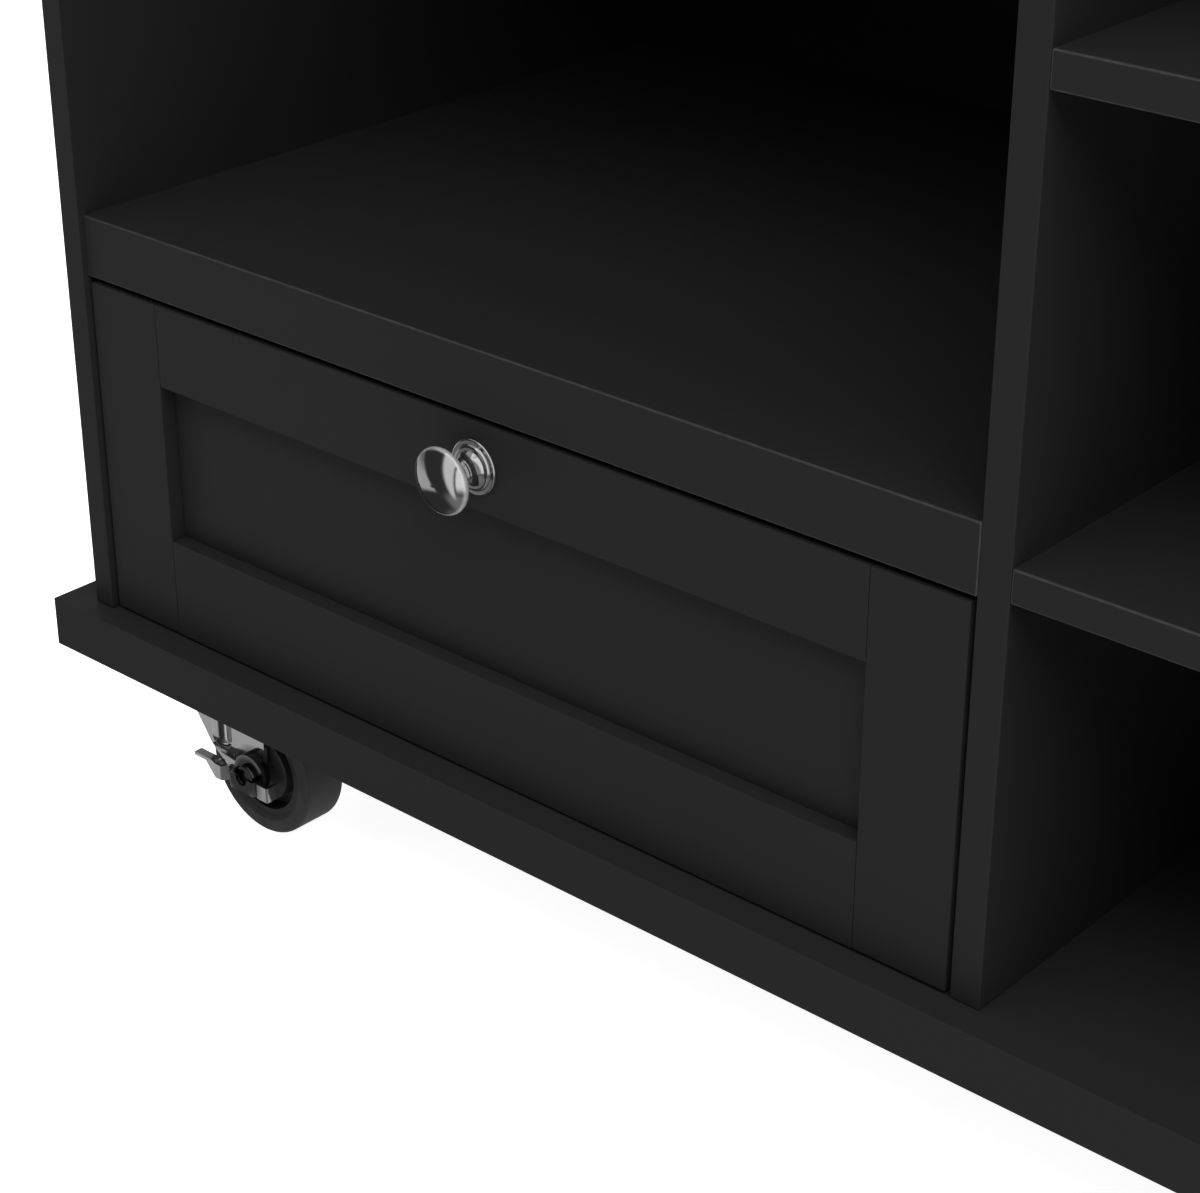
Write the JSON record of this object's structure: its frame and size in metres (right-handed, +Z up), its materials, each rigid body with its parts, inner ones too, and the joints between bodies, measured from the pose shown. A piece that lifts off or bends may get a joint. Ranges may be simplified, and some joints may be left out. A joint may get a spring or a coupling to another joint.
{
  "type": "kitchen island cart",
  "caption": "Rolling kitchen island cart with a wooden worktop, shaker drawers, a microwave bay, open shelves and swivel casters with side brakes.",
  "frame": {"origin": "on the floor, under the middle of the worktop", "axes": "+Z up, the drawer fronts face -Y, +X runs from the microwave bay to the open shelves"},
  "size_m": [1.016, 0.508, 0.914],
  "materials": {
    "black_paint": "satin lacquer",
    "worktop_wood": "satin oil",
    "drawer_box_wood": "satin",
    "chrome": "polished",
    "zinc_steel": "zinc plated",
    "tyre_rubber": "matte",
    "wheel_plastic": "matte"
  },
  "bodies": {
    "carcass": {"base_board": "black_paint", "left_side_panel": "black_paint", "right_side_panel": "black_paint", "divider_panel": "black_paint", "back_panel": "black_paint", "microwave_shelf": "black_paint", "lower_open_shelf": "black_paint", "upper_open_shelf": "black_paint", "drawer_decks": "black_paint", "top_rails": "black_paint", "worktop": "worktop_wood", "cabinet_runners": "zinc_steel", "caster_plates": "zinc_steel", "caster_screws": "zinc_steel", "caster_kingpins": "zinc_steel"},
    "bottom_drawer": {"bottom_drawer_front_stiles": "black_paint", "bottom_drawer_front_bottom_rail": "black_paint", "bottom_drawer_front_top_rail": "black_paint", "bottom_drawer_front_panel": "black_paint", "bottom_drawer_knob": "chrome", "bottom_drawer_box_sides": "drawer_box_wood", "bottom_drawer_box_back": "drawer_box_wood", "bottom_drawer_box_bottom": "drawer_box_wood", "bottom_drawer_runners": "zinc_steel"},
    "top_left_drawer": {"top_left_drawer_front_stiles": "black_paint", "top_left_drawer_front_bottom_rail": "black_paint", "top_left_drawer_front_top_rail": "black_paint", "top_left_drawer_front_panel": "black_paint", "top_left_drawer_knob": "chrome", "top_left_drawer_box_sides": "drawer_box_wood", "top_left_drawer_box_back": "drawer_box_wood", "top_left_drawer_box_bottom": "drawer_box_wood", "top_left_drawer_runners": "zinc_steel"},
    "top_right_drawer": {"top_right_drawer_front_stiles": "black_paint", "top_right_drawer_front_bottom_rail": "black_paint", "top_right_drawer_front_top_rail": "black_paint", "top_right_drawer_front_panel": "black_paint", "top_right_drawer_knob": "chrome", "top_right_drawer_box_sides": "drawer_box_wood", "top_right_drawer_box_back": "drawer_box_wood", "top_right_drawer_box_bottom": "drawer_box_wood", "top_right_drawer_runners": "zinc_steel"},
    "front_left_swivel": {"front_left_caster_fork": "chrome", "front_left_caster_axle": "chrome"},
    "front_left_wheel": {"front_left_caster_tyre": "tyre_rubber", "front_left_caster_hub": "wheel_plastic"},
    "front_left_brake": {"front_left_brake_lever": "chrome"},
    "front_right_swivel": {"front_right_caster_fork": "chrome", "front_right_caster_axle": "chrome"},
    "front_right_wheel": {"front_right_caster_tyre": "tyre_rubber", "front_right_caster_hub": "wheel_plastic"},
    "front_right_brake": {"front_right_brake_lever": "chrome"},
    "rear_left_swivel": {"rear_left_caster_fork": "chrome", "rear_left_caster_axle": "chrome"},
    "rear_left_wheel": {"rear_left_caster_tyre": "tyre_rubber", "rear_left_caster_hub": "wheel_plastic"},
    "rear_right_swivel": {"rear_right_caster_fork": "chrome", "rear_right_caster_axle": "chrome"},
    "rear_right_wheel": {"rear_right_caster_tyre": "tyre_rubber", "rear_right_caster_hub": "wheel_plastic"}
  },
  "joints": [
    {"name": "bottom_drawer_slide", "type": "slide", "parent": "carcass", "child": "bottom_drawer", "axis": [0, -1, 0], "range_m": [0, 0.29]},
    {"name": "top_left_drawer_slide", "type": "slide", "parent": "carcass", "child": "top_left_drawer", "axis": [0, -1, 0], "range_m": [0, 0.29]},
    {"name": "top_right_drawer_slide", "type": "slide", "parent": "carcass", "child": "top_right_drawer", "axis": [0, -1, 0], "range_m": [0, 0.29]},
    {"name": "caster_front_left_swivel", "type": "hinge", "parent": "carcass", "child": "front_left_swivel", "pos_m": [-0.4238, -0.182, 0.0855], "axis": [0, 0, 1], "continuous": true},
    {"name": "caster_front_left_spin", "type": "hinge", "parent": "front_left_swivel", "child": "front_left_wheel", "pos_m": [-0.3958, -0.182, 0.0375], "axis": [0, 1, 0], "continuous": true},
    {"name": "brake_lever_front_left", "type": "hinge", "parent": "front_left_swivel", "child": "front_left_brake", "pos_m": [-0.3958, -0.2007, 0.0375], "axis": [0, -1, 0], "range_deg": [0, 18]},
    {"name": "caster_front_right_swivel", "type": "hinge", "parent": "carcass", "child": "front_right_swivel", "pos_m": [0.4238, -0.182, 0.0855], "axis": [0, 0, 1], "continuous": true},
    {"name": "caster_front_right_spin", "type": "hinge", "parent": "front_right_swivel", "child": "front_right_wheel", "pos_m": [0.4518, -0.182, 0.0375], "axis": [0, 1, 0], "continuous": true},
    {"name": "brake_lever_front_right", "type": "hinge", "parent": "front_right_swivel", "child": "front_right_brake", "pos_m": [0.4518, -0.2007, 0.0375], "axis": [0, -1, 0], "range_deg": [0, 18]},
    {"name": "caster_rear_left_swivel", "type": "hinge", "parent": "carcass", "child": "rear_left_swivel", "pos_m": [-0.4238, 0.182, 0.0855], "axis": [0, 0, 1], "continuous": true},
    {"name": "caster_rear_left_spin", "type": "hinge", "parent": "rear_left_swivel", "child": "rear_left_wheel", "pos_m": [-0.3958, 0.182, 0.0375], "axis": [0, 1, 0], "continuous": true},
    {"name": "caster_rear_right_swivel", "type": "hinge", "parent": "carcass", "child": "rear_right_swivel", "pos_m": [0.4238, 0.182, 0.0855], "axis": [0, 0, 1], "continuous": true},
    {"name": "caster_rear_right_spin", "type": "hinge", "parent": "rear_right_swivel", "child": "rear_right_wheel", "pos_m": [0.4518, 0.182, 0.0375], "axis": [0, 1, 0], "continuous": true}
  ]
}
